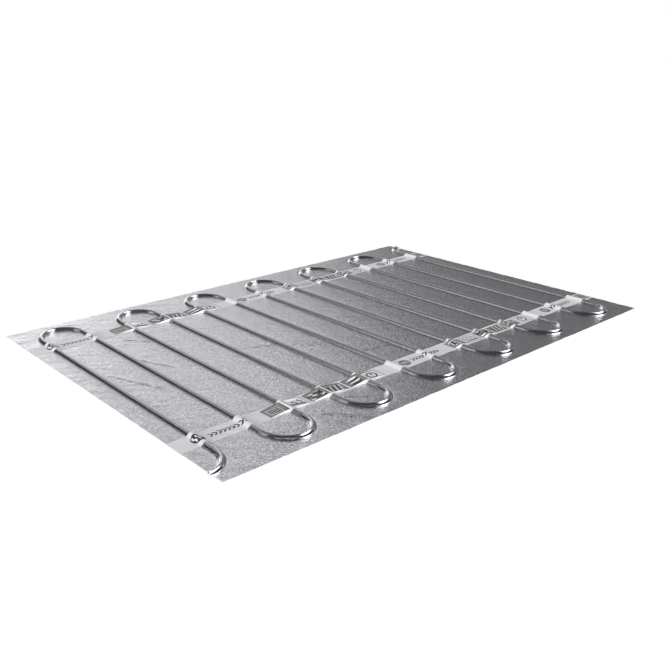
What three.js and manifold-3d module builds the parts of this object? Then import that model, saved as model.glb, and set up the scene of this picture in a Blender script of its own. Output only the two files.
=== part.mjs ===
// A cut length of aluminium foil underfloor heating mat, lying flat.
// One heating cable runs to and fro across the mat in straight runs joined by round loops.
// It is laminated between a flat backing foil and a cover foil, which stands up over the
// cable as a hollow ridge, and two printed tapes along the mat's length hold the runs.
// Millimetres. +X is along the mat, +Y across it towards the back, +Z up, and the origin is
// in the middle of the underside.
import * as THREE from "three";
import { mergeVertices } from "three/addons/utils/BufferGeometryUtils.js";
import Module from "manifold-3d";

// Driving dimensions
const MAT_WIDTH = 500;
const RUN_COUNT = 13;
const RUN_PITCH = 56;
const BACKING_THICKNESS = 0.2;
const COVER_THICKNESS = 0.2;
const CABLE_DIAMETER = 3.6;
const LOOP_HEIGHT = 35;
const FRONT_LOOP_MARGIN = 20.5;
const BACK_LOOP_MARGIN = 20;
const CABLE_CLEARANCE = 0.3;
const RIDGE_FLARE = 2;
const TAPE_WIDTH = 27;
const TAPE_THICKNESS = 0.15;
const TAPE_CLEARANCE = 0.25;
const FRONT_TAPE_INSET = 83;
const BACK_TAPE_INSET = 81;

// Fineness of the faceted curves
const CABLE_SIDES = 8;
const CROWN_FACETS = 5;
const LOOP_DIVISIONS = 5;

// How far a cutting solid runs past what it cuts
const OVERRUN = 1;
// Vertices closer than this are one vertex
const MERGE_TOLERANCE = 1e-4;

// What follows from them: the mat is cut off half a pitch beyond its outer runs
const MAT_LENGTH = RUN_COUNT * RUN_PITCH;
const COVER_TOP = BACKING_THICKNESS + COVER_THICKNESS;
const CABLE_RADIUS = CABLE_DIAMETER / 2;
// The cable rests on one of its flats
const CABLE_HEIGHT = BACKING_THICKNESS + CABLE_RADIUS * Math.cos(Math.PI / CABLE_SIDES);

const wasm = await Module();
wasm.setup();

const FOIL = new THREE.MeshStandardMaterial({ color: 0xc9cacc, metalness: 1, roughness: 0.4 });
const BACKING = new THREE.MeshStandardMaterial({ color: 0xb4b6b9, metalness: 1, roughness: 0.5 });
const SHEATH = new THREE.MeshStandardMaterial({ color: 0xe4e2dc, metalness: 0, roughness: 0.5 });
const TAPE = new THREE.MeshStandardMaterial({ color: 0xe6e7e8, metalness: 0, roughness: 0.35 });

// A closed geometry as a solid that can be joined and cut.
function solidOf(geometry) {
  const bare = geometry.clone();
  bare.deleteAttribute("normal");
  bare.deleteAttribute("uv");
  const merged = mergeVertices(bare, MERGE_TOLERANCE);
  return new wasm.Manifold(
    new wasm.Mesh({
      numProp: 3,
      vertProperties: merged.attributes.position.array,
      triVerts: new Uint32Array(merged.index.array),
    }),
  );
}

// A solid back as a geometry with flat-shaded faces.
function geometryOf(solid) {
  const mesh = solid.getMesh();
  const geometry = new THREE.BufferGeometry();
  geometry.setAttribute("position", new THREE.BufferAttribute(mesh.vertProperties, 3));
  geometry.setIndex(new THREE.BufferAttribute(mesh.triVerts, 1));
  const faceted = geometry.toNonIndexed();
  faceted.computeVertexNormals();
  return faceted;
}

// A curve through given stations, with one ring of a swept section at each of them.
class StationCurve extends THREE.Curve {
  constructor(stations) {
    super();
    this.stations = stations;
  }

  stationAt(share) {
    return Math.round(share * (this.stations.length - 1));
  }

  getPoint(share, target = new THREE.Vector3()) {
    const station = this.stations[this.stationAt(share)];
    return target.set(station.x, station.y, 0);
  }

  getPointAt(share, target) {
    return this.getPoint(share, target);
  }

  getTangentAt(share, target = new THREE.Vector3()) {
    const index = this.stationAt(share);
    const here = this.stations[index];
    const before = this.stations[Math.max(index - 1, 0)];
    const after = this.stations[Math.min(index + 1, this.stations.length - 1)];
    const arriving = here.clone().sub(before).normalize();
    const leaving = after.clone().sub(here).normalize();
    const along = arriving.add(leaving).normalize();
    return target.set(along.x, along.y, 0);
  }
}

// Centre line of the cable seen from above, as stations along it.
// Each loop is a half ellipse over the gap between two runs, in turn at the front and at the
// back, and the loops at both ends of the mat are cut through at their apex.
function cableStations() {
  const front = { baseY: FRONT_LOOP_MARGIN + LOOP_HEIGHT - MAT_WIDTH / 2, turn: -1 };
  const back = { baseY: MAT_WIDTH / 2 - BACK_LOOP_MARGIN - LOOP_HEIGHT, turn: 1 };
  const reach = RUN_PITCH / 2;
  const apexY = (side) => side.baseY + side.turn * LOOP_HEIGHT;
  const sideOf = (gap) => (gap % 2 === 0 ? front : back);
  const endX = MAT_LENGTH / 2;

  const route = new THREE.Path();
  route.moveTo(-endX - OVERRUN, apexY(front));
  route.lineTo(-endX, apexY(front));
  for (let gap = 0; gap <= RUN_COUNT; gap += 1) {
    const side = sideOf(gap);
    // A loop turns from the run before it, at half a turn, over its apex to the run after it
    const start = gap === 0 ? Math.PI / 2 : Math.PI;
    const end = gap === RUN_COUNT ? Math.PI / 2 : 0;
    const centreX = gap * RUN_PITCH - endX;
    const clockwise = side === back;
    route.absellipse(
      centreX, side.baseY, reach, LOOP_HEIGHT, side.turn * start, side.turn * end, clockwise,
    );
  }
  route.lineTo(endX + OVERRUN, apexY(sideOf(RUN_COUNT)));
  return route.getPoints(LOOP_DIVISIONS);
}

// A closed section swept along the cable's centre line.
// The section's points are given as across and up, with up measured from the mat's underside.
function sweepAlongCable(section) {
  const stations = cableStations();
  // The sweep lays a shape's x axis downwards and its y axis across
  const shape = new THREE.Shape(section.map((p) => new THREE.Vector2(-p.y, p.x)));
  return new THREE.ExtrudeGeometry(shape, {
    steps: stations.length - 1,
    extrudePath: new StationCurve(stations),
  });
}

// Outline of foil or tape stretched over the cable, from its left foot to its right one.
// It rises straight from each foot to where it meets the round crown, and follows that over.
// The feet stand out past the crown by the flare.
function drapeOutline(crownRadius, footHeight) {
  const reach = crownRadius + RIDGE_FLARE;
  const drop = CABLE_HEIGHT - footHeight;
  const footAngle = Math.atan2(drop, reach);
  const tangentAngle = Math.acos(crownRadius / Math.hypot(reach, drop)) - footAngle;
  const crown = new THREE.EllipseCurve(
    0, CABLE_HEIGHT, crownRadius, crownRadius, Math.PI - tangentAngle, tangentAngle, true,
  );
  return [
    new THREE.Vector2(-reach, footHeight),
    ...crown.getPoints(CROWN_FACETS),
    new THREE.Vector2(reach, footHeight),
  ];
}

// The same outline closed below, as the section of a solid ridge.
function ridgeSection(crownRadius, footHeight, bottom) {
  const outline = drapeOutline(crownRadius, footHeight);
  const [leftFoot] = outline;
  return [
    ...outline,
    new THREE.Vector2(-leftFoot.x, bottom),
    new THREE.Vector2(leftFoot.x, bottom),
  ];
}

// A flat slab with the mat's length and width.
function slab(bottom, top) {
  const geometry = new THREE.BoxGeometry(MAT_LENGTH, MAT_WIDTH, top - bottom);
  return geometry.translate(0, 0, (top + bottom) / 2);
}

// Everything between the mat's four cut edges.
function trimmed(solid) {
  return solid.intersect(solidOf(slab(-OVERRUN, COVER_TOP + 2 * CABLE_DIAMETER)));
}

// The flat foil underneath.
function makeBackingFoil() {
  return slab(0, BACKING_THICKNESS);
}

// The heating cable, one length lying on the backing foil and cut flush with both ends.
function makeHeatingCable() {
  const section = [];
  for (let side = 0; side < CABLE_SIDES; side += 1) {
    const angle = ((side + 0.5) * 2 * Math.PI) / CABLE_SIDES;
    const across = CABLE_RADIUS * Math.cos(angle);
    section.push(new THREE.Vector2(across, CABLE_HEIGHT + CABLE_RADIUS * Math.sin(angle)));
  }
  return geometryOf(trimmed(solidOf(sweepAlongCable(section))));
}

// The foil on top: flat between the runs, with a hollow ridge over the cable.
function makeCoverFoil() {
  const innerRadius = CABLE_RADIUS + CABLE_CLEARANCE;
  const middle = BACKING_THICKNESS + COVER_THICKNESS / 2;
  const ridge = sweepAlongCable(ridgeSection(innerRadius + COVER_THICKNESS, COVER_TOP, middle));
  const hollow = sweepAlongCable(
    ridgeSection(innerRadius, BACKING_THICKNESS, BACKING_THICKNESS - OVERRUN),
  );
  const sheet = solidOf(slab(BACKING_THICKNESS, COVER_TOP));
  return geometryOf(trimmed(sheet.add(solidOf(ridge)).subtract(solidOf(hollow))));
}

// A tape along the mat, flat on the cover foil and draped over each run's ridge.
function makeTape() {
  const underRadius = CABLE_RADIUS + CABLE_CLEARANCE + COVER_THICKNESS + TAPE_CLEARANCE;
  const under = drapeOutline(underRadius, COVER_TOP);
  const over = drapeOutline(underRadius + TAPE_THICKNESS, COVER_TOP + TAPE_THICKNESS);
  const across = (outline, centreX) => outline.map((p) => new THREE.Vector2(p.x + centreX, p.y));
  const lower = [];
  const upper = [];
  for (let run = 0; run < RUN_COUNT; run += 1) {
    const centreX = (run + 0.5) * RUN_PITCH - MAT_LENGTH / 2;
    lower.push(...across(under, centreX));
    upper.push(...across(over, centreX));
  }
  const outline = [
    new THREE.Vector2(-MAT_LENGTH / 2, COVER_TOP),
    ...lower,
    new THREE.Vector2(MAT_LENGTH / 2, COVER_TOP),
    new THREE.Vector2(MAT_LENGTH / 2, COVER_TOP + TAPE_THICKNESS),
    ...upper.reverse(),
    new THREE.Vector2(-MAT_LENGTH / 2, COVER_TOP + TAPE_THICKNESS),
  ];
  const tape = new THREE.ExtrudeGeometry(new THREE.Shape(outline), {
    depth: TAPE_WIDTH,
    bevelEnabled: false,
  });
  return tape.translate(0, 0, -TAPE_WIDTH / 2);
}

function named(name, geometry, material) {
  const mesh = new THREE.Mesh(geometry, material);
  mesh.name = name;
  return mesh;
}

// A tape is extruded along its own Z axis, which is laid across the mat.
function placedTape(name, centreY) {
  const mesh = named(name, makeTape(), TAPE);
  mesh.rotation.x = Math.PI / 2;
  mesh.position.y = centreY;
  return mesh;
}

const mat = new THREE.Group();
mat.add(named("backing_foil", makeBackingFoil(), BACKING));
mat.add(named("heating_cable", makeHeatingCable(), SHEATH));
mat.add(named("cover_foil", makeCoverFoil(), FOIL));
mat.add(placedTape("front_tape", FRONT_TAPE_INSET - MAT_WIDTH / 2));
mat.add(placedTape("back_tape", MAT_WIDTH / 2 - BACK_TAPE_INSET));

export default mat;
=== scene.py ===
"""Looks of an underfloor heating mat.

One heating cable is laminated between a backing foil and a cover foil, and two printed
tapes lie along the mat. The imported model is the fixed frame: metres, +X along the mat,
+Y towards its back edge, +Z up, and the origin in the middle of the underside.
"""

from __future__ import annotations

import logging
import math
from dataclasses import asdict, dataclass, field
from enum import Enum
from typing import Any

import bpy
import numpy as np
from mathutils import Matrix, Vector
from mathutils.geometry import delaunay_2d_cdt

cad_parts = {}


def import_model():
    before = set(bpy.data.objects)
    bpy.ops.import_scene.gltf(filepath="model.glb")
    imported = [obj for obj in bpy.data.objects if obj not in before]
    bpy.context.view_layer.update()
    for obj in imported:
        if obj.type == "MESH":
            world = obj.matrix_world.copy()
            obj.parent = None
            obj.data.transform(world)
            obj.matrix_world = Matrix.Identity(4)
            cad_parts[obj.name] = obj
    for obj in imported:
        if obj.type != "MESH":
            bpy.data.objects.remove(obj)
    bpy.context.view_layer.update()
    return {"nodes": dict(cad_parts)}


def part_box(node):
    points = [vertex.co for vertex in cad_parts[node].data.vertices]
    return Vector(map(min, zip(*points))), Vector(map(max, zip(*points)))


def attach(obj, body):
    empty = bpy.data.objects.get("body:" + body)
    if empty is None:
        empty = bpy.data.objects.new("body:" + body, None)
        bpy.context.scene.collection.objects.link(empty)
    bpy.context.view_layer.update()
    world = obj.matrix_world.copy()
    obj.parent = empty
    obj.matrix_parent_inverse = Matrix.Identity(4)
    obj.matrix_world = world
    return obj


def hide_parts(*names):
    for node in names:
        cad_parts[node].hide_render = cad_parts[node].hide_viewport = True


Socket = bpy.types.NodeSocket
Tree = bpy.types.NodeTree

MM = 0.001
BODY = "root"
SEED = 7
# Height of a regular triangle with sides of 1
ROW_SHARE = 0.87

log = logging.getLogger("heating_mat")

# Ridges over the cable: half their width, and how the layers lie on one another
FOIL_HALF_WIDTH = 3.6 * MM
LINING_HALF_WIDTH = 2.3 * MM
FOIL_THICKNESS = 0.2 * MM
TAPE_WIDENING = 0.5 * MM
TAPE_LIFT = 0.12 * MM
TAPE_EDGE_ANGLE = math.radians(52)
ROUTE_STEP = 1.2 * MM


def linear_colour(code: str) -> tuple[float, float, float, float]:
    """Turns an sRGB hex colour to linear light.

    Args:
        code: The colour as "#RRGGBB".

    Returns:
        Red, green, blue and a full alpha.
    """
    channels = (int(code[start : start + 2], 16) / 255 for start in (1, 3, 5))
    red, green, blue = (
        value / 12.92 if value <= 0.04045 else ((value + 0.055) / 1.055) ** 2.4
        for value in channels
    )
    return red, green, blue, 1.0


def add_node(
    tree: Tree,
    kind: str,
    links: dict[int | str, Any] | None = None,
    output: int | str = 0,
    **settings: Any,
) -> Socket:
    """Adds one node with its settings and links.

    Args:
        tree: The tree that gets the node.
        kind: The node's type name.
        links: For each input, by name or place, the socket that feeds it or its value.
        output: Which output is wanted, by name or place.
        **settings: The node's own properties.

    Returns:
        The wanted output socket.
    """
    node = tree.nodes.new(kind)
    for name, value in settings.items():
        setattr(node, name, value)
    for key, value in (links or {}).items():
        if isinstance(value, Socket):
            tree.links.new(value, node.inputs[key])
        else:
            node.inputs[key].default_value = value
    return node.outputs[output] if node.outputs else None


class Calc:
    """Writes a formula as math nodes in one tree."""

    def __init__(self, tree: Tree) -> None:
        """Keeps the tree that the formula's nodes go into."""
        self.tree = tree

    def __call__(self, operation: str, *values: Any) -> Socket:
        """Adds one step of the formula, from its operation and its sockets or numbers."""
        links = dict(enumerate(values))
        return add_node(self.tree, "ShaderNodeMath", links, operation=operation)


def new_mesh_object(
    name: str, vertices: np.ndarray, faces: list | np.ndarray, edges: list | None = None
) -> bpy.types.Object:
    """Makes an object of a mesh and links it to the scene.

    Args:
        name: The object's name.
        vertices: One row of x, y and z for each vertex.
        faces: The vertex numbers of each face.
        edges: Loose edges, where there are no faces.

    Returns:
        The object, at the origin.
    """
    mesh = bpy.data.meshes.new(name)
    face_rows = faces.tolist() if isinstance(faces, np.ndarray) else faces
    mesh.from_pydata(np.asarray(vertices).tolist(), edges or [], face_rows)
    mesh.update()
    made = bpy.data.objects.new(name, mesh)
    bpy.context.scene.collection.objects.link(made)
    return made


def set_attribute(made: bpy.types.Object, name: str, domain: str, values: np.ndarray) -> None:
    """Stores one number for each vertex ("POINT") or face ("FACE") of a mesh, in order."""
    layer = made.data.attributes.new(name, "FLOAT", domain)
    layer.data.foreach_set("value", np.asarray(values, np.float32))


# Geometry Nodes


class NodeModifier:
    """A Geometry Nodes tree whose sizes are named inputs."""

    KINDS = {
        float: "NodeSocketFloat",
        int: "NodeSocketInt",
        bpy.types.Object: "NodeSocketObject",
        bpy.types.Material: "NodeSocketMaterial",
    }

    def __init__(self, name: str, values: dict[str, Any]) -> None:
        """Makes an empty tree with its inputs.

        Args:
            name: The tree's name.
            values: Each named input's value, which also gives its kind.
        """
        self.tree = bpy.data.node_groups.new(name, "GeometryNodeTree")
        face = self.tree.interface
        face.new_socket("Geometry", in_out="INPUT", socket_type="NodeSocketGeometry")
        face.new_socket("Geometry", in_out="OUTPUT", socket_type="NodeSocketGeometry")
        self.values = values
        self.identifiers = {}
        for label, value in values.items():
            kind = next(k for t, k in self.KINDS.items() if isinstance(value, t))
            socket = face.new_socket(label, in_out="INPUT", socket_type=kind)
            self.identifiers[label] = socket.identifier
        self.entry = self.tree.nodes.new("NodeGroupInput")
        self.calc = Calc(self.tree)

    def __getitem__(self, label: str) -> Socket:
        """Returns the socket of a named input."""
        return self.entry.outputs[label]

    def add(
        self, kind: str, links: dict | None = None, output: int | str = 0, **settings: Any
    ) -> Socket:
        """Adds a node to this tree, as add_node does."""
        return add_node(self.tree, kind, links, output, **settings)

    def position(self) -> tuple[Any, Any, Any]:
        """Reads where a point lies seen from above.

        Returns:
            The point's x and y, and both as a vector at height zero.
        """
        place = self.add("GeometryNodeInputPosition")
        split = self.add("ShaderNodeSeparateXYZ", {0: place}).node.outputs
        flat = self.add("ShaderNodeCombineXYZ", {"X": split["X"], "Y": split["Y"]})
        return split["X"], split["Y"], flat

    def moved(self, geometry: Any, x: Any, y: Any, z: Any = 0.0) -> Socket:
        """Puts the points of a geometry at new places."""
        place = self.add("ShaderNodeCombineXYZ", {"X": x, "Y": y, "Z": z})
        return self.add("GeometryNodeSetPosition", {"Geometry": geometry, "Position": place})

    def distance_to(self, label: str, flat: Any) -> Socket:
        """Measures how far a point lies from the lines of an object, seen from above.

        Args:
            label: The named input that holds the object.
            flat: The point at height zero.

        Returns:
            The distance's socket.
        """
        lines = self.add("GeometryNodeObjectInfo", {"Object": self[label]}, "Geometry")
        links = {0: lines, "Sample Position": flat}
        return self.add("GeometryNodeProximity", links, "Distance", target_element="EDGES")

    def close(self, geometry: Socket, finishes: dict[str, float | None]) -> None:
        """Ends the tree in Realize Instances and Set Material.

        Args:
            geometry: The finished geometry.
            finishes: For each material input, the number that its faces hold in the
                attribute zone, or None for all faces.
        """
        smooth = self.add("GeometryNodeSetShadeSmooth", {"Geometry": geometry})
        last = self.add("GeometryNodeRealizeInstances", {"Geometry": smooth})
        for label, number in finishes.items():
            links = {"Geometry": last, "Material": self[label]}
            if number is not None:
                zone = self.add("GeometryNodeInputNamedAttribute", {"Name": "zone"}, "Attribute")
                links["Selection"] = self.calc("COMPARE", zone, number, 0.5)
            last = self.add("GeometryNodeSetMaterial", links)
        add_node(self.tree, "NodeGroupOutput", {0: last})

    def bake(self, source: bpy.types.Object, name: str, sharp_angle: float) -> bpy.types.Object:
        """Runs the tree on an object and keeps the result as a plain mesh.

        Args:
            source: The object that the tree starts from, which is removed afterwards.
            name: The finished piece's name.
            sharp_angle: Edges that turn by more than this stay sharp, in degrees.

        Returns:
            The finished piece, at the origin.
        """
        modifier = source.modifiers.new(self.tree.name, "NODES")
        modifier.node_group = self.tree
        for label, value in self.values.items():
            modifier[self.identifiers[label]] = value
        bpy.context.view_layer.update()
        graph = bpy.context.evaluated_depsgraph_get()
        mesh = bpy.data.meshes.new_from_object(source.evaluated_get(graph), depsgraph=graph)
        source.modifiers.remove(modifier)
        bpy.data.objects.remove(source)
        mesh.name = name
        mesh.set_sharp_from_angle(angle=math.radians(sharp_angle))
        made = bpy.data.objects.new(name, mesh)
        bpy.context.scene.collection.objects.link(made)
        return made


@dataclass(frozen=True)
class RidgeShape:
    """Section of foil or film laid over the cable.

    Its crown is the top of an ellipse. From the crown's edge a short skirt sets off with the
    same slope and bends into the foot, more sharply the nearer the bend is to 1.
    """

    half_width: float
    height: float
    centre: float
    foot: float
    edge_angle: float = math.radians(64)
    bend: float = 1.15

    @property
    def reach(self) -> float:
        """Distance from the centre line to where the skirt lies level."""
        edge_height = self.height * math.cos(self.edge_angle) + self.centre
        slope = self.height / self.half_width * math.tan(self.edge_angle)
        edge = self.half_width * math.sin(self.edge_angle)
        return edge + self.bend * (edge_height - self.foot) / slope

    def rows(self, crown_steps: int, skirt_steps: int) -> list[float]:
        """Distances from the centre line at which a mesh follows the shape well.

        Args:
            crown_steps: Steps from the top to the crown's edge.
            skirt_steps: Steps from there to the foot.

        Returns:
            The distances, without the centre line itself.
        """
        turns = (self.edge_angle * step / crown_steps for step in range(1, crown_steps + 1))
        crown = [self.half_width * math.sin(turn) for turn in turns]
        skirt = np.linspace(crown[-1], self.reach, skirt_steps + 1)[1:]
        return [*crown, *skirt.tolist()]

    def inputs(self, name: str) -> dict[str, float]:
        """The shape's sizes as a tree's inputs, which all start with the same name."""
        return {f"{name} {key.replace('_', ' ').title()}": size for key, size in asdict(self).items()}

    def surface(self, grow: NodeModifier, name: str, distance: Any) -> Socket:
        """Works out the height over a point.

        Args:
            grow: The tree, with this shape's inputs.
            name: What the inputs' labels start with.
            distance: How far the point lies from the cable's centre line.

        Returns:
            The height's socket.
        """
        calc = grow.calc
        half, height, centre, foot, angle, bend = (grow[label] for label in self.inputs(name))
        edge = calc("MULTIPLY", half, calc("SINE", angle))
        edge_height = calc("MULTIPLY_ADD", height, calc("COSINE", angle), centre)
        slope = calc("MULTIPLY", calc("DIVIDE", height, half), calc("TANGENT", angle))
        rise = calc("SUBTRACT", edge_height, foot)
        span = calc("DIVIDE", calc("MULTIPLY", rise, bend), slope)
        share = calc("DIVIDE", calc("SUBTRACT", distance, edge), span)
        left = calc("MAXIMUM", calc("SUBTRACT", 1.0, share), 0.0)
        skirt = calc("MULTIPLY_ADD", rise, calc("POWER", left, bend), foot)
        across = calc("POWER", calc("DIVIDE", distance, half), 2.0)
        bow = calc("SQRT", calc("MAXIMUM", calc("SUBTRACT", 1.0, across), 0.0))
        crown = calc("MULTIPLY_ADD", height, bow, centre)
        on_crown = calc("LESS_THAN", distance, edge)
        picked_crown = calc("MULTIPLY", crown, on_crown)
        return calc("MULTIPLY_ADD", skirt, calc("SUBTRACT", 1.0, on_crown), picked_crown)


@dataclass(frozen=True)
class Relief:
    """Noise that rises from level ground and is held down beside the cable.

    It is held to the least share up to the first distance from the cable's centre line, and
    is free from the second one on. The shift keeps two reliefs of one seed apart.
    """

    name: str
    size: float
    height: float
    held_to: float
    free_from: float
    least: float
    fade: str
    detail: float
    distortion: float
    shift: float
    turn: float = 0.0
    stretch: float = 1.0
    level_share: float = 0.36

    def inputs(self) -> dict[str, float]:
        """Its size and height as a tree's inputs."""
        return {self.name + " Size": self.size, self.name + " Height": self.height}

    def surface(self, form: NodeModifier, flat: Any, from_cable: Any) -> Socket:
        """Works out the height that the relief adds.

        Args:
            form: The tree, with this relief's inputs and the input Seed.
            flat: The point seen from above.
            from_cable: Its distance from the cable's centre line.

        Returns:
            The height's socket.
        """
        calc = form.calc
        turned = form.add("ShaderNodeVectorRotate", {"Vector": flat, "Angle": self.turn})
        drawn = {0: turned, 1: (self.stretch, 1.0, 1.0)}
        links = {
            "Vector": form.add("ShaderNodeVectorMath", drawn, operation="MULTIPLY"),
            "W": calc("MULTIPLY", form["Seed"], self.shift),
            "Scale": calc("DIVIDE", 1.0, form[self.name + " Size"]),
            "Detail": self.detail,
            "Distortion": self.distortion,
        }
        noise = form.add("ShaderNodeTexNoise", links, noise_dimensions="4D")
        held = {0: from_cable, 1: self.held_to, 2: self.free_from, 3: self.least, 4: 1.0}
        share = form.add("ShaderNodeMapRange", held, interpolation_type=self.fade)
        risen = calc("MAXIMUM", calc("SUBTRACT", noise, self.level_share), 0.0)
        return calc("MULTIPLY", calc("MULTIPLY", risen, form[self.name + " Height"]), share)


# Soft waves lie slantwise across the mat, and are the same in the foil and in the tapes on it
WAVES = Relief(
    name="Wave",
    size=11 * MM,
    height=1.25 * MM,
    held_to=2.5 * MM,
    free_from=14 * MM,
    least=0.0,
    fade="SMOOTHSTEP",
    detail=1.5,
    distortion=0.4,
    shift=1.7,
    turn=math.radians(34),
    stretch=0.3,
)
# Fine crinkles lie all over the foil alone
CRINKLES = Relief(
    name="Crinkle",
    size=3.4 * MM,
    height=0.75 * MM,
    held_to=4.2 * MM,
    free_from=8 * MM,
    least=0.02,
    fade="LINEAR",
    detail=2.0,
    distortion=0.8,
    shift=3.1,
)


# Where the cable runs


@dataclass
class CableRoute:
    """Centre line of the cable seen from above.

    A straight run crosses the mat every pitch, and half-ellipse loops join the runs in turn
    at the front and at the back. The loops at both ends are cut through at their apex.
    """

    length: float
    width: float
    runs: int = 13
    loop_height: float = 35 * MM
    front_margin: float = 20.5 * MM
    back_margin: float = 20 * MM

    @property
    def half(self) -> np.ndarray:
        """Half the mat's length and width."""
        return np.array([self.length, self.width]) / 2

    def stations(self, run_step: float, loop_step: float) -> tuple[np.ndarray, np.ndarray]:
        """Points along the centre line and the direction across it at each of them.

        Args:
            run_step: Largest step along a straight run.
            loop_step: Largest step along a loop.

        Returns:
            Two arrays with one row of x and y for each station.
        """
        front_base = self.front_margin + self.loop_height - self.width / 2
        back_base = self.width / 2 - self.back_margin - self.loop_height
        pitch = self.length / self.runs
        reach = pitch / 2
        around = math.pi * (reach + self.loop_height) / 2
        loop_steps = 2 * math.ceil(around / loop_step / 2)
        run_steps = math.ceil((back_base - front_base) / run_step)
        points: list[tuple[float, float]] = []
        tangents: list[tuple[float, float]] = []
        for gap in range(self.runs + 1):
            at_back = gap % 2 == 1
            base, turn = (back_base, 1) if at_back else (front_base, -1)
            target = front_base if at_back else back_base
            middle = gap * pitch - self.length / 2
            first = loop_steps // 2 if gap == 0 else 0
            last = loop_steps // 2 if gap == self.runs else loop_steps
            for step in range(first, last + 1):
                across, along = math.cos(math.pi * step / loop_steps), math.sin(math.pi * step / loop_steps)
                points.append((middle - reach * across, base + turn * self.loop_height * along))
                tangents.append((reach * along, turn * self.loop_height * across))
            for step in range(1, run_steps if gap < self.runs else 1):
                points.append((middle + reach, base + (target - base) * step / run_steps))
                tangents.append((0.0, -turn))
        along = np.array(tangents)
        along /= np.linalg.norm(along, axis=1, keepdims=True)
        return np.array(points), np.column_stack([-along[:, 1], along[:, 0]])

    def as_object(self, name: str, step: float) -> bpy.types.Object:
        """Makes the centre line an object of edges, at height zero.

        Args:
            name: The object's name.
            step: Largest step along its loops.

        Returns:
            The object.
        """
        points, _ = self.stations(20 * step, step)
        return line_object(name, [points])


def line_object(name: str, lines: list[np.ndarray]) -> bpy.types.Object:
    """Makes open lines seen from above an object of edges, at height zero.

    Args:
        name: The object's name.
        lines: For each line, one row of x and y for each point.

    Returns:
        The object.
    """
    edges: list[tuple[int, int]] = []
    start = 0
    for line in lines:
        edges += [(i, i + 1) for i in range(start, start + len(line) - 1)]
        start += len(line)
    rows = np.concatenate(lines)
    return new_mesh_object(name, np.column_stack([rows, np.zeros(start)]), [], edges)


# Finishes


@dataclass(frozen=True)
class Finish:
    """A surface whose tone drifts between two colours.

    The drift follows a noise of the mottle's size, which is spread over the given range.
    """

    name: str
    tones: tuple[str, str]
    roughness: float
    mottle_size: float
    mottle_detail: float = 2.0
    mottle_range: tuple[float, float] = (0.0, 1.0)

    def material(self) -> bpy.types.Material:
        """Builds the finish.

        Returns:
            The material.
        """
        made = bpy.data.materials.new(self.name)
        made.use_nodes = True
        tree = made.node_tree
        shader = tree.nodes["Principled BSDF"].inputs
        shader["Roughness"].default_value = self.roughness
        place = add_node(tree, "ShaderNodeTexCoord", output="Object")
        # This noise drifts the tone: the finish's own uneven tone on inks, cut edge and sheath, painted
        # shade and glints of fine crinkles on the foils, and painted ripple shade on the film
        size = {"Vector": place, "Scale": 1 / self.mottle_size, "Detail": self.mottle_detail}
        mottle = add_node(tree, "ShaderNodeTexNoise", size)
        low, high = self.mottle_range
        share = add_node(tree, "ShaderNodeMapRange", {0: mottle, 1: low, 2: high, 3: 0.0, 4: 1.0})
        tones = {0: share, 6: linear_colour(self.tones[0]), 7: linear_colour(self.tones[1])}
        tone = add_node(tree, "ShaderNodeMix", tones, 2, data_type="RGBA")
        tree.links.new(tone, shader["Base Color"])
        self.refine(tree, shader, place, mottle)
        return made

    def refine(self, tree: Tree, shader: Any, place: Any, mottle: Any) -> None:
        """Adds what only one kind of finish has, and nothing to a plain one."""


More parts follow.
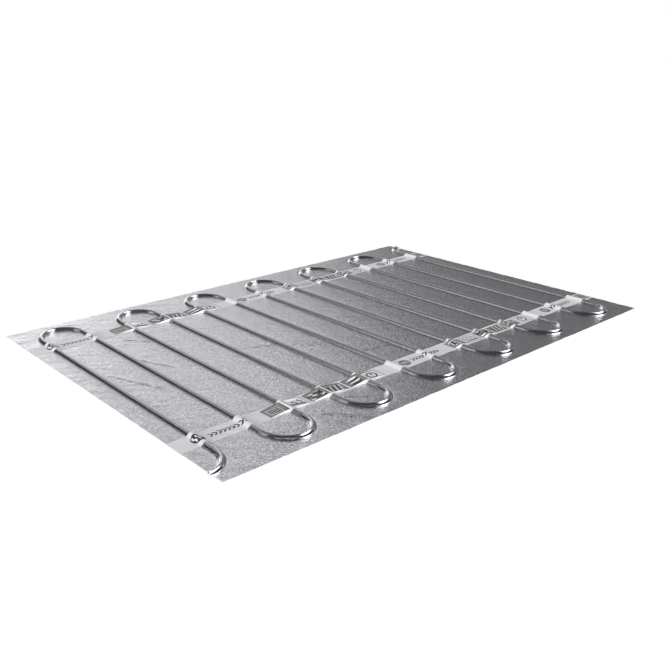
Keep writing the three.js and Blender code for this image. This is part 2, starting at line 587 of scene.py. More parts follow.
@dataclass(frozen=True)
class AluminiumFoil(Finish):
    """Rolled aluminium foil laminated on film.

    The eye sees a blurred metal mirror, broken up by millimetre crinkles, with a faint grain
    from the rolls along the mat. The finest crinkles are smaller than the eye parts, so their
    shade and glints are painted into the tone as lighter and darker specks.
    """

    name: str = "rolled_aluminium_foil"
    tones: tuple[str, str] = ("#CCCBD0", "#E4E3E9")
    roughness: float = 0.18
    # The tone's specks from this noise are painted shade and glints of crinkles too fine to model
    mottle_size: float = 2.1 * MM
    mottle_detail: float = 1.0
    mottle_range: tuple[float, float] = (0.34, 0.66)
    crinkle_size: float = 2.4 * MM
    crinkle_depth: float = 0.5 * MM
    grain_size: float = 0.5 * MM
    grain_depth: float = 0.012 * MM
    grain_stretch: float = 0.08
    cloud_size: float = 30 * MM
    cloud_range: tuple[float, float] = (0.3, 0.7)
    haze: tuple[float, float] = (-0.03, 0.04)
    tight_loss: float = 0.93

    def refine(self, tree: Tree, shader: Any, place: Any, mottle: Any) -> None:
        """Adds the metal, the crinkles, the grain and a cloudy roughness.

        Args:
            tree: The material's tree.
            shader: The shader's inputs.
            place: The point's place on the object.
            mottle: The noise that the tone follows; not used here.
        """
        shader["Metallic"].default_value = 1.0
        size = {"Vector": place, "Scale": 1 / self.crinkle_size}
        shape = {"Detail": 3.0, "Roughness": 0.55, "Distortion": 0.6}
        crinkle = add_node(tree, "ShaderNodeTexNoise", {**size, **shape})
        # Where the foil is drawn tight over the cable, its crinkles are pulled out
        tightness = add_node(tree, "ShaderNodeAttribute", output="Fac", attribute_name="tightness")
        slack = Calc(tree)("MULTIPLY_ADD", tightness, -self.tight_loss, 1.0)
        relief = {"Height": Calc(tree)("MULTIPLY", crinkle, slack), "Distance": self.crinkle_depth}
        coarse = add_node(tree, "ShaderNodeBump", {**relief, "Strength": 1.0})
        stretch = {"Vector": place, "Scale": (self.grain_stretch, 1.0, 1.0)}
        drawn = add_node(tree, "ShaderNodeMapping", stretch)
        size = {"Vector": drawn, "Scale": 1 / self.grain_size, "Detail": 1.0}
        relief = {"Height": add_node(tree, "ShaderNodeTexNoise", size), "Distance": self.grain_depth}
        fine = add_node(tree, "ShaderNodeBump", {**relief, "Strength": 1.0, "Normal": coarse})
        tree.links.new(fine, shader["Normal"])
        size = {"Vector": place, "Scale": 1 / self.cloud_size, "Detail": 2.0}
        cloud = add_node(tree, "ShaderNodeTexNoise", size)
        low, high = self.cloud_range
        smooth, rough = (self.roughness + change for change in self.haze)
        links = {0: cloud, 1: low, 2: high, 3: smooth, 4: rough}
        tree.links.new(add_node(tree, "ShaderNodeMapRange", links), shader["Roughness"])


@dataclass(frozen=True)
class FilmTape(Finish):
    """Milky polypropylene tape film.

    The eye sees an even greyish white with a soft gloss, a little uneven where the foil's
    crinkles press through. The film ripples there, and its tone is painted shade: lighter on the
    ripples' rises and darker in their dips.
    """

    name: str = "milky_polypropylene_film"
    tones: tuple[str, str] = ("#EAE9ED", "#F3F2F6")
    roughness: float = 0.5
    mottle_size: float = 5 * MM
    mottle_detail: float = 3.0
    ripple_depth: float = 0.03 * MM
    refraction: float = 1.49

    def refine(self, tree: Tree, shader: Any, place: Any, mottle: Any) -> None:
        """Adds the film's refraction, and ripples that follow the same noise as the tone, which is painted
        lighter on their rises.

        Args:
            tree: The material's tree.
            shader: The shader's inputs.
            place: The point's place on the object; not used here.
            mottle: The noise that the tone follows.
        """
        shader["IOR"].default_value = self.refraction
        # The tone follows this noise too, as painted shade: lighter where the ripples rise
        ripple = {"Height": mottle, "Distance": self.ripple_depth, "Strength": 1.0}
        tree.links.new(add_node(tree, "ShaderNodeBump", ripple), shader["Normal"])


# The dull side of the same foil: the eye sees a metal too blurred to mirror anything
# Its tone carries the same painted specks: shade and glints of crinkles too fine to model
MATT_FOIL = AluminiumFoil("matt_aluminium_foil", ("#C8C8CB", "#D4D4D8"), 0.42)
# The eye sees a pale dull line, because the film's sheared edge scatters the light
CUT_LAMINATE = Finish("sheared_laminate_edge", ("#CFD0D2", "#E3E4E6"), 0.6, 0.6 * MM)
# The eye sees a flat, slightly mottled tone with the film's gloss
GREY_INK = Finish("grey_printing_ink", ("#7E7E7A", "#94948F"), 0.4, 1.5 * MM)
DARK_INK = Finish("dark_printing_ink", ("#2A2A2C", "#3A3A3C"), 0.4, 1.5 * MM)
# The eye sees an off-white fluoropolymer with a soft sheen
CABLE_SHEATH = Finish("extruded_cable_sheath", ("#E4E2DC", "#D6D3CB"), 0.45, 4 * MM)


# The cover foil


@dataclass(frozen=True)
class Crease:
    """One fold line pressed into the foil, as points seen from above, in millimetres."""

    points: tuple[tuple[float, float], ...]

    def line(self, step: float) -> np.ndarray:
        """Spreads points along the fold.

        Args:
            step: Distance between them.

        Returns:
            One row of x and y for each point, in metres.
        """
        corners = np.array(self.points) * MM
        spans = np.linalg.norm(np.diff(corners, axis=0), axis=1)
        travelled = np.concatenate([[0.0], np.cumsum(spans)])
        places = np.linspace(0.0, travelled[-1], max(3, round(travelled[-1] / step)))
        return np.column_stack([np.interp(places, travelled, corners[:, axis]) for axis in (0, 1)])


CREASES = (
    Crease(((-253, 136), (-247, 124), (-238, 113), (-230, 101))),
    Crease(((-275, 63), (-266, 38), (-255, 12))),
    Crease(((-325, 38), (-312, 4), (-298, -33))),
    Crease(((-166, 7), (-152, 2), (-139, -5), (-120, -15), (-103, -27), (-90, -39), (-77, -56))),
    Crease(((-52, -100), (-35, -106), (-21, -107), (-8, -114))),
    Crease(((-206, -204), (-194, -222), (-181, -238), (-174, -250))),
    Crease(((-168, -182), (-156, -193), (-141, -206))),
    Crease(((116, -8), (125, -9), (134, -12))),
)


def clear_of(points: np.ndarray, others: np.ndarray, distance: float) -> np.ndarray:
    """Keeps the points that lie further than a distance from all the others.

    Args:
        points: The points to sort.
        others: What they have to stay clear of.
        distance: How far.

    Returns:
        The points that do.
    """
    kept = []
    for block in np.array_split(points, max(1, len(points) // 2000)):
        gaps = block[:, None, :] - others[None, :, :]
        kept.append(block[((gaps**2).sum(axis=2).min(axis=1)) > distance**2])
    return np.concatenate(kept)


def flat_net(points: np.ndarray, edges: list, tolerance: float) -> tuple[np.ndarray, np.ndarray]:
    """Joins points seen from above to a net of triangles.

    Args:
        points: One row of x and y for each point.
        edges: Pairs of points that the net has to join.
        tolerance: Points closer than this are one.

    Returns:
        The net's points and its triangles.
    """
    made = delaunay_2d_cdt([Vector(point) for point in points], edges, [], 0, tolerance)
    return np.array([tuple(point) for point in made[0]]), np.array(made[2])


@dataclass
class CoverFoil:
    """The top foil: flat between the runs, drawn tight over the cable, crinkled and creased."""

    route: CableRoute
    ridge: RidgeShape
    lining: RidgeShape
    tape_middles: tuple[float, float]
    tape_half: float
    run_step: float = 3.8 * MM
    loop_step: float = 2.4 * MM
    grid_step: float = 3.0 * MM
    fold_step: float = 2.2 * MM
    shoulder_rows: tuple[float, float] = (0.8 * MM, 2.0 * MM)
    fold_rows: tuple[float, ...] = (-3.0, -2.0, -1.0, 0.0, 1.0, 2.0, 3.0)
    lining_steps: tuple[float, float] = (9 * MM, 6 * MM)
    centre_step: float = 2 * MM
    edge_tolerance: float = 0.1 * MM
    net_tolerance: float = 1e-9
    # How far the grid stays clear of the strip's end, the strip, the folds and the cut edges
    end_gap: float = 1.5 * MM
    strip_gap: float = 1.3 * MM
    fold_gap: float = 1.3 * MM
    edge_gap: float = 1.4 * MM

    @property
    def strip_reach(self) -> float:
        """Distance of the outermost row of points from the centre line."""
        return self.ridge.reach + self.shoulder_rows[-1]

    def strip(self, offsets: list[float], run_step: float, loop_step: float) -> np.ndarray:
        """Points in rows beside the cable's centre line.

        Args:
            offsets: The rows' distances from the centre line.
            run_step: Step along a run.
            loop_step: Step along a loop.

        Returns:
            One row of x and y for each point.
        """
        points, across = self.route.stations(run_step, loop_step)
        reach = [0.0, *(side * offset for offset in offsets for side in (-1, 1))]
        return np.concatenate([points + across * out for out in reach])

    def inside(self, points: np.ndarray, gap: float) -> np.ndarray:
        """Keeps the points that lie further than a gap inside the cut edges."""
        return points[(np.abs(points) < self.route.half - gap).all(axis=1)]

    def edge_points(self, strip_ends: np.ndarray) -> np.ndarray:
        """Points along the four cut edges, in order round the mat.

        Args:
            strip_ends: Points that the cable's strip already has on the short edges.

        Returns:
            One row of x and y for each point.
        """
        half = self.route.half
        corners = np.array([(-1, -1), (1, -1), (1, 1), (-1, 1)]) * half
        rows = []
        for start, end in zip(corners, np.roll(corners, -1, axis=0)):
            count = math.ceil(np.linalg.norm(end - start) / self.grid_step)
            rows.append(start + np.arange(count)[:, None] / count * (end - start))
        edge = np.concatenate(rows)
        for side in (-1, 1):
            ends = strip_ends[strip_ends[:, 0] * side > 0]
            beside = np.abs(edge[:, 1] - ends[:, 1].mean()) < self.strip_reach + self.end_gap
            edge = edge[~((edge[:, 0] * side > half[0] - self.edge_tolerance) & beside)]
        edge = np.concatenate([edge, strip_ends])
        return edge[np.argsort(np.arctan2(edge[:, 1] / half[1], edge[:, 0] / half[0]))]

    def fold_points(self) -> np.ndarray:
        """Points in rows beside the folds.

        Returns:
            One row of x and y for each point.
        """
        rows = []
        for crease in CREASES:
            fold = crease.line(self.fold_step)
            along = np.gradient(fold, axis=0)
            across = np.column_stack([-along[:, 1], along[:, 0]])
            across /= np.linalg.norm(across, axis=1, keepdims=True)
            rows += [fold + across * out * MM for out in self.fold_rows]
        return np.concatenate(rows)

    def blank(self) -> bpy.types.Object:
        """The flat foil before it is formed, as a closed thin sheet.

        Returns:
            The blank. Its attribute outer is 1 on the outer face and 0 on the lining, and its
            attribute zone is 1 on the cut edges.
        """
        half_x, half_y = self.route.half
        offsets = [*self.ridge.rows(5, 3), *(self.ridge.reach + row for row in self.shoulder_rows)]
        strip = self.strip(offsets, self.run_step, self.loop_step)
        edge = self.edge_points(strip[np.abs(strip[:, 0]) > half_x - self.edge_tolerance])
        centre, _ = self.route.stations(self.centre_step, self.centre_step)
        folded = clear_of(self.fold_points(), centre, self.strip_reach + self.shoulder_rows[0])
        xs = np.arange(-half_x + self.grid_step, half_x, self.grid_step)
        # Every other row is shifted by half a step, so that the triangles are nearly regular
        ys = np.arange(-half_y, half_y, self.grid_step * ROW_SHARE)
        grid = np.array([(x + (j % 2) * self.grid_step / 2, y) for j, y in enumerate(ys) for x in xs])
        grid = clear_of(grid, centre, self.strip_reach + self.strip_gap)
        grid = self.inside(clear_of(grid, folded, self.fold_gap), self.edge_gap)
        net = [edge, self.inside(np.concatenate([strip, folded]), self.edge_tolerance), grid]
        top, top_faces = flat_net(np.concatenate(net), [], self.net_tolerance)
        lining = self.strip(self.lining.rows(3, 2), *self.lining_steps)
        net = [edge, self.inside(lining, self.edge_tolerance)]
        bottom, bottom_faces = flat_net(np.concatenate(net), [], self.net_tolerance)
        shift = len(top)
        ring = np.arange(len(edge))
        after = np.roll(ring, -1)
        rim = np.column_stack([ring + shift, after + shift, after, ring])
        heights = np.repeat([self.ridge.foot, self.lining.foot], [len(top), len(bottom)])
        vertices = np.column_stack([np.concatenate([top, bottom]), heights])
        faces = [*top_faces.tolist(), *(bottom_faces[:, ::-1] + shift).tolist(), *rim.tolist()]
        made = new_mesh_object("foil_blank", vertices, faces)
        set_attribute(made, "outer", "POINT", np.arange(len(vertices)) < shift)
        set_attribute(made, "zone", "FACE", np.arange(len(faces)) >= len(faces) - len(rim))
        return made

    @staticmethod
    def freedom(form: NodeModifier, y: Any) -> Socket:
        """How freely the foil crinkles: hardly at all where a tape presses it flat.

        Args:
            form: The tree, with the named inputs of the tapes' places.
            y: The point's place across the mat.

        Returns:
            A share between nearly 0 and 1.
        """
        half = form["Tape Half Width"]
        shares = []
        for middle in ("Front Tape Middle", "Back Tape Middle"):
            away = form.calc("ABSOLUTE", form.calc("SUBTRACT", y, form[middle]))
            far = form.calc("ADD", half, form["Tape Margin"])
            links = {0: away, 1: half, 2: far, 3: form["Pressed Share"], 4: 1.0}
            shares.append(form.add("ShaderNodeMapRange", links))
        return form.calc("MULTIPLY", *shares)

    def build(self, route: bpy.types.Object) -> bpy.types.Object:
        """Forms the foil over the cable.

        Args:
            route: The cable's centre line as edges.

        Returns:
            The finished foil.
        """
        folds = line_object("fold_lines", [crease.line(self.fold_step) for crease in CREASES])
        form = NodeModifier(
            "Formed foil",
            {
                "Route": route,
                "Folds": folds,
                "Foil": AluminiumFoil().material(),
                "Cut Edge": CUT_LAMINATE.material(),
                **self.ridge.inputs("Ridge"),
                **self.lining.inputs("Lining"),
                **WAVES.inputs(),
                **CRINKLES.inputs(),
                "Fold Height": 0.45 * MM,
                "Fold Width": 3.8 * MM,
                "Fold Held To": 2 * MM,
                "Fold Free From": 9 * MM,
                "Taut To": 2 * MM,
                "Slack From": 8 * MM,
                "Front Tape Middle": self.tape_middles[0],
                "Back Tape Middle": self.tape_middles[1],
                "Tape Half Width": self.tape_half,
                "Tape Margin": 5 * MM,
                "Pressed Share": 0.08,
                "Seed": SEED,
            },
        )
        calc = form.calc
        x, y, flat = form.position()
        outer = form.add("GeometryNodeInputNamedAttribute", {"Name": "outer"}, "Attribute")
        from_cable = form.distance_to("Route", flat)
        ridge = self.ridge.surface(form, "Ridge", from_cable)
        lining = self.lining.surface(form, "Lining", from_cable)
        across = {0: form.distance_to("Folds", flat), 1: 0.0, 2: form["Fold Width"]}
        links = {**across, 3: form["Fold Height"], 4: 0.0}
        fold = form.add("ShaderNodeMapRange", links, interpolation_type="SMOOTHERSTEP")
        links = {0: from_cable, 1: form["Fold Held To"], 2: form["Fold Free From"], 3: 0.0, 4: 1.0}
        beside = form.add("ShaderNodeMapRange", links)
        crinkled = calc("MULTIPLY_ADD", fold, beside, CRINKLES.surface(form, flat, from_cable))
        loose = calc("MULTIPLY", crinkled, self.freedom(form, y))
        relief = calc("ADD", WAVES.surface(form, flat, from_cable), loose)
        above_lining = calc("SUBTRACT", calc("ADD", ridge, relief), lining)
        height = calc("MULTIPLY_ADD", above_lining, outer, lining)
        formed = form.moved(form["Geometry"], x, y, height)
        links = {0: from_cable, 1: form["Taut To"], 2: form["Slack From"], 3: 1.0, 4: 0.0}
        taut = form.add("ShaderNodeMapRange", links, interpolation_type="SMOOTHSTEP")
        links = {"Geometry": formed, "Name": "tightness", "Value": taut}
        form.close(form.add("GeometryNodeStoreNamedAttribute", links), {"Foil": None, "Cut Edge": 1.0})
        made = form.bake(self.blank(), "cover_foil_formed", 60)
        bpy.data.objects.remove(folds)
        return made


# The tapes


class Ink(Enum):
    """What lies on a place of the tape."""

    BARE = 0
    GREY = 1
    DARK = 2


@dataclass(frozen=True)
class Mark:
    """One printed shape: an outline in millimetres and its ink."""

    outline: tuple[tuple[float, float], ...]
    ink: Ink


@dataclass(frozen=True)
class Pen:
    """Draws marks from a place on the tape, in millimetres."""

    x: float = 0.0
    y: float = 0.0

    def shape(self, points: Any, ink: Ink) -> Mark:
        """A closed outline through points."""
        return Mark(tuple((self.x + x, self.y + y) for x, y in points), ink)

    def box(self, x: float, y: float, width: float, height: float, ink: Ink) -> Mark:
        """An upright rectangle, from its lower left corner."""
        return self.slab(x, y, width, height, 0.0, ink)

    def slab(self, x: float, y: float, width: float, height: float, lean: float, ink: Ink) -> Mark:
        """A level bar whose upper side is shifted by the lean."""
        top = y + height
        return self.shape([(x, y), (x + width, y), (x + lean + width, top), (x + lean, top)], ink)

    def stroke(self, points: list[tuple[float, float]], thickness: float, ink: Ink) -> Mark:
        """A line of even thickness.

        Args:
            points: The line's points.
            thickness: Its thickness.
            ink: Its ink.

        Returns:
            The line as one closed outline.
        """
        line = np.array(points, float)
        along = np.gradient(line, axis=0)
        across = np.column_stack([-along[:, 1], along[:, 0]])
        across *= thickness / 2 / np.linalg.norm(across, axis=1, keepdims=True)
        return self.shape(np.concatenate([line + across, (line - across)[::-1]]), ink)

    def wave(self, x: float, y: float, height: float, swing: float, thickness: float, ink: Ink) -> Mark:
        """A rising wavy line, as for warmth, from its lower end."""
        turns = ((2 * math.pi * step / 10, y + height * step / 10) for step in range(11))
        return self.stroke([(x + swing * math.sin(turn), rise) for turn, rise in turns], thickness, ink)

    def disc(self, x: float, y: float, radius: float, ink: Ink, sides: int = 20) -> Mark:
        """A disc with its middle at x and y."""
        turns = [2 * math.pi * side / sides for side in range(sides)]
        return self.shape([(x + radius * math.cos(t), y + radius * math.sin(t)) for t in turns], ink)

    def mat_plan(self) -> list[Mark]:
        """A mat seen from above, with its cable."""
        runs = [self.box(6.2 + 2.9 * run, 6.0, 0.9, 6.6, Ink.BARE) for run in range(5)]
        return [self.box(3.2, 3.4, 18.2, 11.8, Ink.BARE), self.box(4.4, 4.6, 15.8, 9.4, Ink.DARK), *runs]

    def warm_floor(self) -> list[Mark]:
        """Warmth that rises from a floor."""
        waves = [self.wave(place, 7.0, 9.0, 1.3, 1.8, Ink.DARK) for place in (5.2, 12.2, 19.2)]
        return [self.box(2.0, 2.4, 20.6, 2.6, Ink.DARK), *waves]

    def boards(self) -> list[Mark]:
        """Rows of floor boards, with every other row shifted and cut off at the end.

        Returns:
            The marks.
        """
        marks = []
        for row, column in ((row, column) for row in range(4) for column in range(3)):
            left = 1.4 + row % 2 * 4.0 + 7.6 * column
            ink = Ink.BARE if (row + column) % 3 == 0 else Ink.DARK
            marks.append(self.box(left, 1.8 + 4.0 * row, min(6.4, 23.2 - left), 2.8, ink))
        return marks

    def hatch(self) -> list[Mark]:
        """Slanting hatch, as for insulation."""
        inks = (Ink.DARK, Ink.BARE) * 3
        return [self.slab(1.0 + 3.2 * line, 1.4, 1.7, 15.8, 5.5, ink) for line, ink in enumerate(inks)]

    def layers(self) -> list[Mark]:
        """The layers of a floor, one above the other."""
        inks = (Ink.DARK, Ink.BARE) * 2
        return [self.slab(2.4, 2.4 + 3.5 * layer, 14.0, 3.2, 5.6, ink) for layer, ink in enumerate(inks)]

    def dial(self) -> list[Mark]:
        """A round control with its pointer."""
        pointer = self.stroke([(12.3, 9.3), (14.5, 13.9)], 1.8, Ink.DARK)
        return [self.disc(12.3, 9.3, 7.2, Ink.DARK, 24), self.disc(12.3, 9.3, 5.2, Ink.BARE), pointer]


@dataclass
class TapePrint:
    """The print that repeats along a tape, laid out from the tape's left end.

    A round warmth sign, a row of chevrons along the mat and six plain pictures of how such a
    mat is laid. All are general signs.
    """

    period: float = 297.0
    sign_x: float = 20.0
    sign_size: float = 15.5
    arrow_x: float = 39.5
    arrow_length: float = 49.0
    arrow_count: int = 9
    arrow_half: float = 3.8
    arrow_stroke: float = 2.7
    picture_x: float = 111.0
    picture_pitch: float = 28.9
    picture_width: float = 26.0
    picture_height: float = 20.0
    frame_line: float = 0.7

    def sign(self) -> list[Mark]:
        """A dark disc with three bare wavy lines."""
        pen = Pen(self.sign_x + self.sign_size / 2)
        waves = [pen.wave(place, -4.6, 9.2, 0.9, 1.7, Ink.BARE) for place in (-3.9, 0.0, 3.9)]
        return [pen.disc(0.0, 0.0, self.sign_size / 2, Ink.DARK, 28), *waves]

    def arrows(self) -> list[Mark]:
        """A row of chevrons that points along the mat.

        Returns:
            The marks.
        """
        half, stroke = self.arrow_half, self.arrow_stroke
        tip = [(0.0, half), (half, 0.0), (0.0, -half)]
        outline = [*tip, *((x + stroke, y) for x, y in reversed(tip))]
        places = [self.arrow_x + self.arrow_length * i / self.arrow_count for i in range(self.arrow_count)]
        return [Pen(place).shape(outline, Ink.DARK) for place in places]

    def marks(self) -> list[Mark]:
        """All printed shapes of one period, in the order that they are painted.

        Returns:
            The marks.
        """
        drawn = [*self.sign(), *self.arrows()]
        pictures = (
            (Pen.mat_plan, Ink.GREY),
            (Pen.warm_floor, Ink.BARE),
            (Pen.boards, Ink.GREY),
            (Pen.hatch, Ink.GREY),
            (Pen.layers, Ink.GREY),
            (Pen.dial, Ink.BARE),
        )
        line, width, height = self.frame_line, self.picture_width, self.picture_height
        for index, (picture, fill) in enumerate(pictures):
            x, y = self.picture_x + index * self.picture_pitch, -height / 2
            inner = Pen(x + line, y + line)
            drawn.append(Pen(x, y).box(0.0, 0.0, width, height, Ink.DARK))
            drawn.append(inner.box(0.0, 0.0, width - 2 * line, height - 2 * line, fill))
            drawn += picture(inner)
        return drawn


def inside_outline(points: np.ndarray, outline: np.ndarray) -> np.ndarray:
    """Tells which points lie inside a closed outline.

    Args:
        points: One row of x and y for each point.
        outline: The outline's corners in order.

    Returns:
        True or False for each point.
    """
    x, y = points[:, 0], points[:, 1]
    found = np.zeros(len(points), bool)
    for (ax, ay), (bx, by) in zip(outline, np.roll(outline, -1, axis=0)):
        crosses = (ay > y) != (by > y)
        with np.errstate(divide="ignore", invalid="ignore"):
            found ^= crosses & (x < (bx - ax) * (y - ay) / (by - ay) + ax)
    return found


@dataclass
class Tape:
    """A printed tape along the mat, draped over the ridges."""

    name: str
    middle: float
    half_width: float
    route: CableRoute
    ridge: RidgeShape
    thickness: float = 0.08 * MM
    column_step: float = 0.75 * MM
    row_step: float = 2.7 * MM
    weld: float = 0.001 * MM
    net_tolerance: float = 0.0001 * MM
    layout: TapePrint = field(default_factory=TapePrint)

    def cell(self) -> bpy.types.Object:
        """One period of the flat film, split along the outlines of its print.

        Returns:
            The cell, with the ink of each face as its attribute zone.
        """
        period, half = self.layout.period * MM, self.half_width
        columns = np.linspace(0.0, period, round(period / self.column_step) + 1)
        rows = np.linspace(-half, half, round(2 * half / self.row_step) + 1)
        points = [(x, y) for y in rows for x in columns]
        edges: list[tuple[int, int]] = []
        marks = self.layout.marks()
        for mark in marks:
            first, count = len(points), len(mark.outline)
            points += [(x * MM, y * MM) for x, y in mark.outline]
            edges += [(first + i, first + (i + 1) % count) for i in range(count)]
        flat, faces = flat_net(points, edges, self.net_tolerance)
        middles = flat[faces].mean(axis=1) / MM
        ink = np.zeros(len(faces))
        for mark in marks:
            ink[inside_outline(middles, np.array(mark.outline))] = mark.ink.value
        vertices = np.column_stack([flat, np.zeros(len(flat))])
        cell = new_mesh_object(self.name + "_cell", vertices, faces)
        set_attribute(cell, "zone", "FACE", ink)
        return cell

    def build(self, route: bpy.types.Object, inks: dict[str, bpy.types.Material]) -> bpy.types.Object:
        """Lays the tape from end to end of the mat.

        Args:
            route: The cable's centre line as edges.
            inks: The materials of the film and of both inks, by their inputs' names.

        Returns:
            The finished tape.
        """
        cell = self.cell()
        period = self.layout.period * MM
        lay = NodeModifier(
            "Printed tape",
            {
                "Cell": cell,
                "Route": route,
                **inks,
                **self.ridge.inputs("Ridge"),
                **WAVES.inputs(),
                "Period": period,
                "Cells": math.ceil(self.route.length / period),
                "Left End": -self.route.length / 2,
                "Right End": self.route.length / 2,
                "Middle": self.middle,
                "Thickness": self.thickness,
                "Weld": self.weld,
                "Seed": SEED,
            },
        )
        calc = lay.calc
        start = lay.add("ShaderNodeCombineXYZ", {"X": lay["Left End"], "Y": lay["Middle"]})
        step = lay.add("ShaderNodeCombineXYZ", {"X": lay["Period"]})
        links = {"Count": lay["Cells"], "Start Location": start, "Offset": step}
        line = lay.add("GeometryNodeMeshLine", links)
        unit = lay.add("GeometryNodeObjectInfo", {"Object": lay["Cell"]}, "Geometry")
        placed = lay.add("GeometryNodeInstanceOnPoints", {"Points": line, "Instance": unit})
        strip = lay.add("GeometryNodeRealizeInstances", {"Geometry": placed})
        # What runs past the right end is pressed up to it, and then deleted
        x, y, _ = lay.position()
        strip = lay.moved(strip, calc("MINIMUM", x, lay["Right End"]), y)
        beyond = calc("GREATER_THAN", x, calc("SUBTRACT", lay["Right End"], lay["Weld"]))
        links = {"Geometry": strip, "Selection": beyond}
        strip = lay.add("GeometryNodeDeleteGeometry", links, domain="FACE")
        links = {"Geometry": strip, "Distance": lay["Weld"]}
        strip = lay.add("GeometryNodeMergeByDistance", links)
        x, y, flat = lay.position()
        from_cable = lay.distance_to("Route", flat)
        drape = self.ridge.surface(lay, "Ridge", from_cable)
        height = calc("ADD", drape, WAVES.surface(lay, flat, from_cable))
        under = lay.moved(strip, x, y, height)
        rise = lay.add("ShaderNodeCombineXYZ", {"Z": lay["Thickness"]})
        links = {"Mesh": under, "Offset": rise, "Offset Scale": 1.0, "Individual": False}
        over = lay.add("GeometryNodeExtrudeMesh", links)
        joined = lay.tree.nodes.new("GeometryNodeJoinGeometry")
        lay.tree.links.new(over, joined.inputs[0])
        turned = lay.add("GeometryNodeFlipFaces", {"Mesh": under})
        lay.tree.links.new(turned, joined.inputs[0])
        links = {"Geometry": joined.outputs[0], "Distance": lay["Weld"]}
        whole = lay.add("GeometryNodeMergeByDistance", links)
        film, grey, dark = inks
        lay.close(whole, {film: None, grey: Ink.GREY.value, dark: Ink.DARK.value})
        made = lay.bake(new_mesh_object(self.name + "_carrier", np.zeros((1, 3)), []), self.name, 50)
        bpy.data.objects.remove(cell)
        return made


# The cable


@dataclass
class HeatingCable:
    """The cable inside, one length from cut end to cut end."""

    route: CableRoute
    centre_height: float
    radius: float
    sides: int = 12
    loop_step: float = 3 * MM

    def build(self) -> bpy.types.Object:
        """Sweeps a round section along the route.

        Returns:
            The finished cable.
        """
        sweep = NodeModifier(
            "Swept cable",
            {
                "Sheath": CABLE_SHEATH.material(),
                "Radius": self.radius,
                "Height": self.centre_height,
                "Sides": self.sides,
                "Left End": -self.route.length / 2,
                "Right End": self.route.length / 2,
            },
        )
        calc = sweep.calc
        curve = sweep.add("GeometryNodeMeshToCurve", {"Mesh": sweep["Geometry"]})
        lift = sweep.add("ShaderNodeCombineXYZ", {"Z": sweep["Height"]})
        curve = sweep.add("GeometryNodeSetPosition", {"Geometry": curve, "Offset": lift})
        links = {"Resolution": sweep["Sides"], "Radius": sweep["Radius"]}
        ring = sweep.add("GeometryNodeCurvePrimitiveCircle", links)
        links = {"Curve": curve, "Profile Curve": ring, "Fill Caps": True}
        tube = sweep.add("GeometryNodeCurveToMesh", links)
        place = sweep.add("GeometryNodeInputPosition")
        split = sweep.add("ShaderNodeSeparateXYZ", {0: place}).node.outputs
        held_x = calc("MINIMUM", calc("MAXIMUM", split["X"], sweep["Left End"]), sweep["Right End"])
        sweep.close(sweep.moved(tube, held_x, split["Y"], split["Z"]), {"Sheath": None})
        return sweep.bake(self.route.as_object("cable_centre", self.loop_step), "heating_cable_round", 50)


# The studio


@dataclass(frozen=True)
class SoftPanel:
    """A softly edged bright panel in the sky, in degrees.

    Azimuth is counted from +Y towards +X. The panel is full strength inside its two ranges
    and fades out over the soft margin beyond them. With a lean it shifts sideways by that
    share of the height.
    """

    azimuth: float
    half_width: float
    low: float
    high: float
    strength: float
    soft_width: float
    soft_height: float
    lean: float = 0.0

    def glow(self, tree: Tree, look: Any, elevation: Any) -> Socket:
        """Adds the panel's brightness for each direction.

        Args:
            tree: The world's tree.
            look: The direction.
            elevation: The direction's elevation in degrees.

        Returns:
            The brightness.
        """
        calc = Calc(tree)
        turn = {"Vector": look, "Angle": math.radians(self.azimuth)}
        turned = add_node(tree, "ShaderNodeVectorRotate", turn)
        split = add_node(tree, "ShaderNodeSeparateXYZ", {0: turned}).node.outputs
        bearing = calc("DEGREES", calc("ARCTAN2", split["X"], split["Y"]))
        aside = calc("ABSOLUTE", calc("MULTIPLY_ADD", elevation, -self.lean, bearing))
        beneath = calc("MULTIPLY", elevation, -1.0)
        level: Any = self.strength
        for value, edge, soft in (
            (aside, self.half_width, self.soft_width),
            (beneath, -self.low, self.soft_height),
            (elevation, self.high, self.soft_height),
        ):
            fall = {0: value, 1: edge, 2: edge + soft, 3: 1.0, 4: 0.0}
            share = add_node(tree, "ShaderNodeMapRange", fall, interpolation_type="SMOOTHSTEP")
            level = calc("MULTIPLY", level, share)
        return level


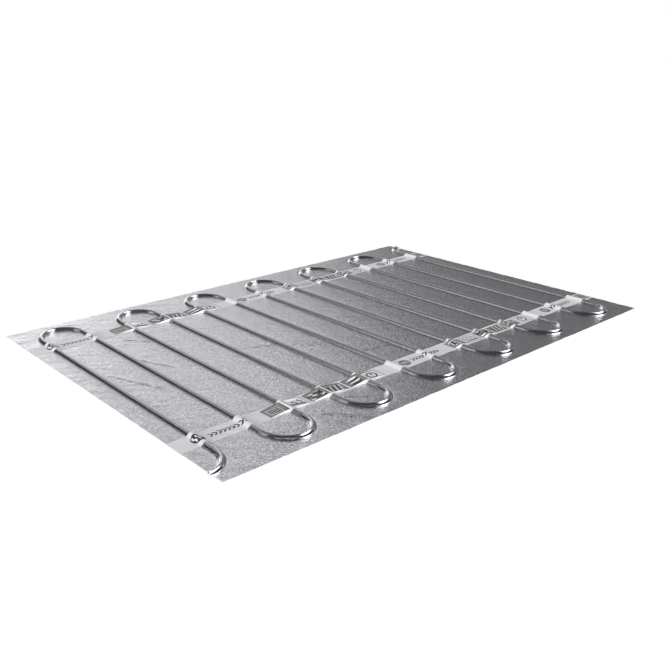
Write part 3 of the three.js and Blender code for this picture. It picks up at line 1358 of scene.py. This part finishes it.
@dataclass
class Studio:
    """A plain white floor, a dim sky with a few soft panels, and the camera.

    The foil mirrors the pale panels behind the mat. The key light stands to the front
    right, and the fill light low behind the camera.
    """

    floor_colour: str = "#F8F8F8"
    floor_size: float = 30.0
    floor_height: float = -0.02 * MM
    floor_glow: float = 0.36
    sky: float = 0.045
    panels: tuple[SoftPanel, ...] = (
        SoftPanel(14, 10, -10, 29, 0.68, soft_width=9, soft_height=15, lean=0.6),
        SoftPanel(15, 5, -10, 18, 0.8, soft_width=8, soft_height=7),
        SoftPanel(36, 2, 21, 30, 0.3, soft_width=6, soft_height=5),
        SoftPanel(-8, 14, 28, 36, 0.35, soft_width=12, soft_height=10),
        SoftPanel(-5, 45, 44, 70, 0.15, soft_width=25, soft_height=22),
        SoftPanel(-55, 12, 21, 34, 0.55, soft_width=5, soft_height=5),
        SoftPanel(70, 24, -10, 26, 0.15, soft_width=12, soft_height=16),
        SoftPanel(32, 9, -10, 4, 0.9, soft_width=7, soft_height=5),
        SoftPanel(112, 28, 42, 56, 4.5, soft_width=14, soft_height=9),
        SoftPanel(222, 34, 3, 17, 10.0, soft_width=8, soft_height=5),
    )
    camera_place: tuple[float, float, float] = (-0.71054, -0.78189, 0.37518)
    camera_turn: float = -42.163
    camera_dip: float = 20.471
    lens: float = 43.168
    sensor_width: float = 36.0

    def floor(self) -> None:
        """Lays the floor, which is left out of the object's body."""
        half, low = self.floor_size / 2, self.floor_height
        corners = [(-half, -half, low), (half, -half, low), (half, half, low), (-half, half, low)]
        made = new_mesh_object("floor", np.array(corners), [(0, 1, 2, 3)])
        finish = bpy.data.materials.new("white_studio_floor")
        finish.use_nodes = True
        shader = finish.node_tree.nodes["Principled BSDF"].inputs
        shader["Base Color"].default_value = linear_colour(self.floor_colour)
        shader["Roughness"].default_value = 0.9
        shader["Specular IOR Level"].default_value = 0.0
        shader["Emission Color"].default_value = (1, 1, 1, 1)
        shader["Emission Strength"].default_value = self.floor_glow
        made.data.materials.append(finish)

    def world(self) -> None:
        """Paints the sky: dim all over, with the soft panels added."""
        world = bpy.data.worlds.new("soft_studio")
        bpy.context.scene.world = world
        world.use_nodes = True
        tree = world.node_tree
        tree.nodes.clear()
        calc = Calc(tree)
        look = add_node(tree, "ShaderNodeTexCoord", output="Generated")
        split = add_node(tree, "ShaderNodeSeparateXYZ", {0: look}).node.outputs
        elevation = calc("DEGREES", calc("ARCSINE", split["Z"]))
        total: Any = self.sky
        for panel in self.panels:
            total = calc("ADD", total, panel.glow(tree, look, elevation))
        # The camera sees plain white behind the mat
        seen = add_node(tree, "ShaderNodeLightPath", output="Is Camera Ray")
        shown = {"Color": (1, 1, 1, 1), "Strength": calc("MAXIMUM", total, seen)}
        sky = add_node(tree, "ShaderNodeBackground", shown)
        add_node(tree, "ShaderNodeOutputWorld", {"Surface": sky})

    def camera(self) -> None:
        """Stands the camera where the photograph was taken from."""
        data = bpy.data.cameras.new("camera")
        data.lens = self.lens
        data.sensor_width = self.sensor_width
        made = bpy.data.objects.new("camera", data)
        made.location = self.camera_place
        made.rotation_euler = (math.radians(90 - self.camera_dip), 0.0, math.radians(self.camera_turn))
        bpy.context.scene.collection.objects.link(made)
        bpy.context.scene.camera = made

    def build(self) -> None:
        """Makes the whole studio."""
        self.camera()
        self.floor()
        self.world()
        bpy.context.scene.view_settings.view_transform = "Standard"


def dress(piece: bpy.types.Object, slot: str, *nodes: str) -> None:
    """Fits a finished piece into the frame.

    Args:
        piece: The finished piece.
        slot: The name of a material slot; not used.
        *nodes: The nodes that it stands for.
    """
    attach(piece, BODY)
    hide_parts(*nodes)
    log.info("%s: %d faces, for %s", piece.name, len(piece.data.polygons), ", ".join(nodes))


def main() -> None:
    """Builds the mat's looks around the frame, in order."""
    logging.basicConfig(level=logging.INFO, format="%(name)s: %(message)s")
    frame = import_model()

    Studio().build()

    backing = frame["nodes"]["backing_foil"]
    backing.data.materials.clear()
    backing.data.materials.append(MATT_FOIL.material())
    log.info("backing_foil keeps its shape")

    backing_low, backing_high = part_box("backing_foil")
    cable_low, cable_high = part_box("heating_cable")
    size = backing_high - backing_low
    route = CableRoute(length=size.x, width=size.y)
    backing_top = backing_high.z
    cable_radius = (cable_high.z - cable_low.z) / 2
    cable_height = backing_top + cable_radius
    lines = route.as_object("route_lines", ROUTE_STEP)
    cable = HeatingCable(route, cable_height, cable_radius)
    dress(cable.build(), "cable_sheath", "heating_cable")

    tape_boxes = {node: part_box(node) for node in ("front_tape", "back_tape")}
    middles = tuple((low.y + high.y) / 2 for low, high in tape_boxes.values())
    tape_low, tape_high = tape_boxes["front_tape"]
    tape_half = (tape_high.y - tape_low.y) / 2
    cover_top = tape_low.z
    crown_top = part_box("cover_foil")[1].z
    ridge_centre = cover_top + FOIL_THICKNESS
    foil_ridge = RidgeShape(FOIL_HALF_WIDTH, crown_top - ridge_centre, ridge_centre, cover_top)
    # Glue fills the corners beside the cable, so that the foil's underside lies close to it
    lining_rise = crown_top - FOIL_THICKNESS - cable_height
    lining = RidgeShape(LINING_HALF_WIDTH, lining_rise, cable_height, backing_top)
    foil = CoverFoil(route, foil_ridge, lining, middles, tape_half)
    dress(foil.build(lines), "cover_foil", "cover_foil")

    tape_ridge = RidgeShape(
        FOIL_HALF_WIDTH + TAPE_WIDENING,
        foil_ridge.height + TAPE_LIFT,
        ridge_centre,
        cover_top + TAPE_LIFT,
        TAPE_EDGE_ANGLE,
    )
    inks = {
        "Film": FilmTape().material(),
        "Grey Ink": GREY_INK.material(),
        "Dark Ink": DARK_INK.material(),
    }
    for node, middle in zip(tape_boxes, middles):
        tape = Tape(node + "_printed", middle, tape_half, route, tape_ridge)
        dress(tape.build(lines, inks), "printed_tape", node)

    bpy.data.objects.remove(lines)


if __name__ == "__main__":
    main()
